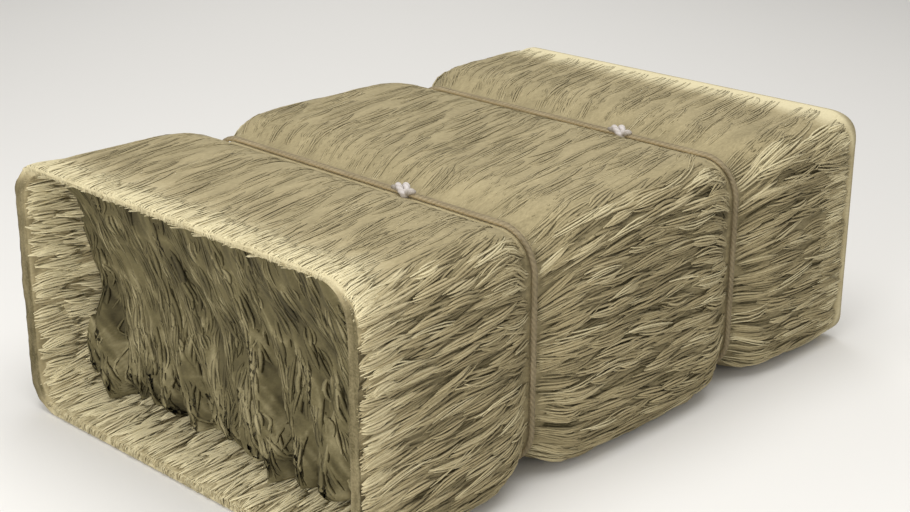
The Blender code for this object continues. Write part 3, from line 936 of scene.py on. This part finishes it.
def make_inner_mass():
    """The darker hay that fills the back of the hollow: leaning folds with painted highlights on their
    crests.

    Its columns of points lean with the tufts, so that the crests run smooth."""
    wall = HOLLOW_TAPER * INNER_DEPTH / HOLLOW_DEPTH + 0.002
    half, low, high = WIDTH / 2 - LIP_SIDE - wall, LIP_BOTTOM + wall, HEIGHT - LIP_TOP - wall
    columns, rows = INNER_COLUMNS, INNER_ROWS
    levels = np.linspace(low, high, rows)[:, None]
    into = np.maximum(0.0, np.maximum(low + HOLLOW_RADIUS - levels, levels - high + HOLLOW_RADIUS))
    reach = half - HOLLOW_RADIUS + np.sqrt(np.maximum(0.0, HOLLOW_RADIUS**2 - into**2))
    across = np.linspace(1.0, -1.0, columns)[None, :]
    y = reach * across + TUFT_LEAN * (levels - (low + high) / 2) * (1.0 - across**2)
    z = np.broadcast_to(levels, y.shape)
    face, normals = inner_face(y, z)
    height, tone = inner_relief(y, z)
    steep = 1.0 - smooth_step(np.abs(normals[..., 0]), 0.60, 0.84)
    deep = face[..., 0] + TUFT_LEAN * z
    strand = noise(deep / 0.0060, z / 0.035, 58) + 0.7 * noise(deep / 0.015, z / 0.026, 59)
    height = height + 0.0010 * steep * strand
    # The strands' tone follows their relief: painted highlight and shade.
    tone = tone + steep * (0.26 * strand - 0.06)
    face = face + normals * height[..., None]
    grid = np.arange(rows * columns).reshape(rows, columns)
    rim = np.concatenate([grid[0], grid[1:, -1], grid[-1, -2::-1], grid[-2:0:-1, 0]])
    back = face.reshape(-1, 3)[rim]
    back[:, 0] = NEAR_END + HOLLOW_DEPTH - 0.0005
    points = np.concatenate([face.reshape(-1, 3), back])
    around = rows * columns + np.arange(len(rim))
    sides = np.stack([rim, around, np.roll(around, -1), np.roll(rim, -1)], -1)
    faces = [grid_quads(rows, columns, False)[:, ::-1], sides[:, ::-1], around[None, :]]
    edge = np.linspace(0.0, 1.0, len(rim) + 1)
    strip = np.stack([edge[1:], edge[1:], edge[:-1], edge[:-1]], -1)
    places = np.concatenate(
        [
            flipped(grid_places(rows, columns, False, (0.0, 0.0), (1.0, 0.9))),
            np.stack([strip, np.broadcast_to([0.92, 0.94, 0.94, 0.92], strip.shape)], -1).reshape(-1, 2),
            disc_places(len(rim), (0.5, 0.975), 0.02),
        ]
    )
    tones = np.concatenate([tone.ravel(), np.full(len(rim), 0.2)])
    return dress(make_mesh("inner_mass", points, faces, tones, places, INNER), "inner_hay", "inner_hay")


def make_inner_stalks():
    """Dark blades over the inner hay, leaning down towards -Y, with pointed ends at the tufts' feet.

    They lie on its folds and take their tone from them, painted highlight and shade included. None lies on a
    tuft's steep flanks."""
    stalks = Stalks()
    half = WIDTH / 2 - LIP_SIDE - 0.010
    lean = math.atan(TUFT_LEAN)
    follow = {"sag": lambda y, z: inner_relief(y, z)[0], "glow": lambda y, z: inner_relief(y, z)[1]}
    # The lower layers' darker tones are painted shade between the blades.
    layers = (
        (-0.0002, 0.02, 0.50, 0.0040, 4, 0.046, 0.016),
        (-0.0001, 0.06, 0.50, 0.0035, 4, 0.042, 0.014),
        (0.0000, 0.10, 0.40, 0.0030, 4, 0.038, 0.013),
        (0.0001, 0.16, 0.25, 0.0022, 3, 0.032, 0.011),
    )
    for height, tone, coverage, radius, number, length, width in layers:
        v, u = scatter((0.030, HEIGHT - 0.040), (-half, half), length, width, 4.0 * coverage)
        _, normals = inner_face(u, v)
        facing = np.abs(normals[:, 0])
        kept = (facing > 0.70) & (rng.random(len(u)) < 0.25 / facing)
        u, v = u[kept], v[kept]
        count = len(u)
        lengths = length * rng.uniform(0.6, 1.5, count)
        v = np.clip(v, 0.022 + lengths / 2, HEIGHT - 0.018 - lengths / 2)
        turn = lean * rng.uniform(0.3, 1.2, count) + 0.16 * noise(u / 0.06, v / 0.08, 53)
        lay_locks(
            stalks, inner_face, u, v, math.pi / 2 - turn, lengths,
            width * rng.uniform(0.6, 1.3, count),
            number, height,
            0.0005 * rng.uniform(0.5, 1.3, count),
            tone + rng.normal(0, 0.06, count),
            radius,
            span=(np.full(count, -half), np.full(count, half)),
            steps=7, flat=0.08, taper=0.9, tuck=0.0006, squeeze=0.6, **follow,
        )
    number = 10
    for foot, half_width, _, hang in TUFTS:
        share = rng.uniform(-1.0, 1.0, number)
        length = rng.uniform(0.030, 0.060, number)
        tip = foot + 0.40 * half_width * share
        bottom = LIP_BOTTOM + 0.5 * hang + 0.020 * rng.random(number) * (0.3 + np.abs(share))
        turn = lean * rng.uniform(0.6, 1.1, number) - 0.22 * share
        stalks.lay(
            inner_face,
            tip + 0.5 * length * np.sin(turn),
            bottom + 0.5 * length * np.cos(turn),
            math.pi / 2 - turn, length, np.zeros(number),
            0.0005 * rng.random(number),
            rng.uniform(0.0030, 0.0055, number),
            0.05 + rng.normal(0, 0.06, number),
            bow=rng.normal(0, 0.002, number),
            steps=7, flat=0.10, taper=0.92, taper_from=2, **follow,
        )
    return dress(stalks.mesh("inner_stalks", INNER), "inner_hay")


# The twines and knots


def sweep(name, path, profile, guide, material, closed, tone):
    """A bar swept along a path. guide is a direction that is never along it.

    profile and tone give its radius and its tone for an angle round it and a distance along it."""
    count = len(path)
    forward = np.roll(path, -1, 0) - np.roll(path, 1, 0) if closed else np.gradient(path, axis=0)
    forward = unit(forward)
    beside = unit(np.cross(forward, np.broadcast_to(guide, path.shape)))
    upward = np.cross(beside, forward)
    gaps = np.linalg.norm(np.roll(path, -1, 0) - path, axis=-1)
    distance = np.concatenate([[0.0], np.cumsum(gaps[:-1])])
    total = distance[-1] + (gaps[-1] if closed else 0.0)
    sides = CORD_SIDES
    angle = np.arange(sides) * math.tau / sides
    radius = profile(angle[None, :], distance[:, None], total)
    points = path[:, None, :] + (radius * np.cos(angle))[..., None] * beside[:, None, :]
    points = points + (radius * np.sin(angle))[..., None] * upward[:, None, :]
    tones = tone(angle[None, :], distance[:, None], total, radius)
    rings = count + 1 if closed else count
    faces = [grid_quads(rings, sides, True) % (count * sides)]
    places = [grid_places(rings, sides, True, (0.0, 0.0), (1.0, 0.9))]
    if not closed:
        faces.append(np.stack([np.arange(sides)[::-1], (count - 1) * sides + np.arange(sides)]))
        places += [disc_places(sides, (0.25, 0.95), 0.03), disc_places(sides, (0.75, 0.95), 0.03)]
    return make_mesh(name, points.reshape(-1, 3), faces, tones.ravel(), np.concatenate(places), material)


def make_twine(label, place, slope):
    """A twine of three twisted plies round its pinch, paler on the top and where it faces the far end:
    painted light against its groove's shade.
    """
    inset = PINCH_DEPTH - TWINE_RADIUS - 0.0003
    t = np.arange(TWINE_STEPS) * ROUND / TWINE_STEPS
    y, z, _, _ = outer_section(t, inset, CORNER_RADIUS + PINCH_DEPTH - inset)
    path = np.stack([place + slope * y, y, z], -1)

    def profile(angle, distance, total):
        twist = angle - math.tau * round(total / TWIST_PITCH) * distance / total
        return TWINE_RADIUS * (0.82 + 0.20 * np.abs(np.cos(1.5 * twist)))

    on_top = smooth_step(path[:, 2], HEIGHT - PINCH_DEPTH - 0.012, HEIGHT - PINCH_DEPTH)[:, None]

    def tone(angle, distance, total, radius):
        # The tone follows the plies' radius: painted shade between them.
        plies = 0.22 + 1.0 * (radius / TWINE_RADIUS - 0.85)
        # Painted light on the top and on the flanks, against the groove's shade.
        flank = 0.5 - 0.5 * np.cos(angle)
        painted_lift = (0.02 + 0.7 * flank) * on_top + 0.5 * flank
        return plies + painted_lift + 0.10 * noise(distance / 0.03, angle, 61)

    obj = sweep(f"twine_{label}_plies", path, profile, (1.0, 0.0, 0.0), TWINE, True, tone)
    return dress(obj, "twine", f"twine_{label}")


def make_knot(label, place, slope):
    """A pale knot: one cord looped through itself, with two frayed ends."""
    low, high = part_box(f"knot_{label}")
    centre_y = (low.y + high.y) / 2
    top = HEIGHT - PINCH_DEPTH
    s = np.linspace(0.0, 1.0, KNOT_STEPS)
    a = math.tau * 1.5 * s
    across = 0.0058 * np.sin(2 * a) * np.sin(math.pi * s)
    along = (s - 0.5) * 0.030 + 0.0075 * np.sin(a * 2 + 0.6)
    up = 0.0062 + 0.0036 * np.cos(3 * a) * np.sin(math.pi * s)
    path = np.stack([place + slope * centre_y + across, centre_y + along, top + up], -1)

    def profile(angle, distance, total):
        swell = 0.75 + 0.45 * np.sin(math.pi * np.clip(distance / total, 0, 1)) ** 0.5
        return KNOT_RADIUS * swell * (0.88 + 0.14 * np.abs(np.cos(1.5 * (angle - distance / 0.0035))))

    def tone(angle, distance, total, radius):
        # The tone follows the cord's radius: painted shade between its twists.
        return 0.30 + 2.0 * (radius / 0.0040 - 0.8) + 0.1 * noise(distance / 0.004, angle, 62)

    obj = sweep(f"knot_{label}_wraps", path, profile, (0.3, 0.1, 1.0), KNOT, False, tone)
    return dress(obj, "knot", f"knot_{label}")


# The stage


def make_stage():
    """A plain pale floor, soft light and the photograph's camera."""
    bpy.ops.mesh.primitive_plane_add(size=14.0, location=(0.0, 0.0, 0.0))
    floor = bpy.context.object
    floor.name = "floor"
    paint = bpy.data.materials.new("floor")
    paint.use_nodes = True
    shader = paint.node_tree.nodes["Principled BSDF"]
    shader.inputs["Base Color"].default_value = srgb(226, 224, 220)
    shader.inputs["Roughness"].default_value = 0.9
    floor.data.materials.append(paint)

    world = bpy.data.worlds.new("studio")
    world.use_nodes = True
    background = world.node_tree.nodes["Background"]
    background.inputs["Color"].default_value = (1.0, 0.99, 0.97, 1.0)
    background.inputs["Strength"].default_value = 0.45
    bpy.context.scene.world = world
    # Each light's name, place, width and power. They all face the bale.
    lights = (
        ("overhead", (-0.2, -0.3, 2.6), 2.6, 54.0),
        ("front", (-1.6, -2.6, 1.3), 2.0, 11.0),
        ("end", (-2.5, -0.7, 0.8), 1.6, 41.0),
        ("rear", (1.8, 2.2, 1.8), 2.0, 14.0),
    )
    for name, place, size, power in lights:
        lamp = bpy.data.lights.new(name, "AREA")
        lamp.shape = "DISK"
        lamp.size = size
        lamp.energy = power
        obj = new_object(name, lamp)
        obj.location = place
        obj.rotation_mode = "QUATERNION"
        obj.rotation_quaternion = (Vector((0.0, 0.0, 0.12)) - Vector(place)).to_track_quat("-Z", "Y")
    bpy.context.scene.view_settings.view_transform = "Standard"

    camera = bpy.data.cameras.new("camera")
    camera.lens = CAMERA_LENS
    camera.sensor_width = 36.0
    camera.sensor_fit = "HORIZONTAL"
    obj = new_object("camera", camera)
    turns = ((CAMERA_AZIMUTH, "Z"), (math.pi / 2 - CAMERA_ELEVATION, "X"), (CAMERA_ROLL, "Z"))
    matrix = Matrix.Translation(CAMERA_PLACE)
    for angle, axis in turns:
        matrix = matrix @ Matrix.Rotation(angle, 4, axis)
    obj.matrix_world = matrix
    bpy.context.scene.camera = obj


def main():
    """Clears what Blender starts with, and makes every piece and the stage."""
    for obj in [o for o in bpy.data.objects if o.name in ("Cube", "Light", "Camera")]:
        bpy.data.objects.remove(obj)
    make_skin()
    make_front()
    make_back()
    make_top()
    make_under()
    make_full_end()
    make_lip_hay()
    make_hollow_walls()
    make_inner_mass()
    make_inner_stalks()
    for label, place, slope in zip(("near", "far"), TIE_PLACES, TIE_SLANTS):
        make_twine(label, place, slope)
        make_knot(label, place, slope)
    make_stage()
    bpy.context.view_layer.update()


main()
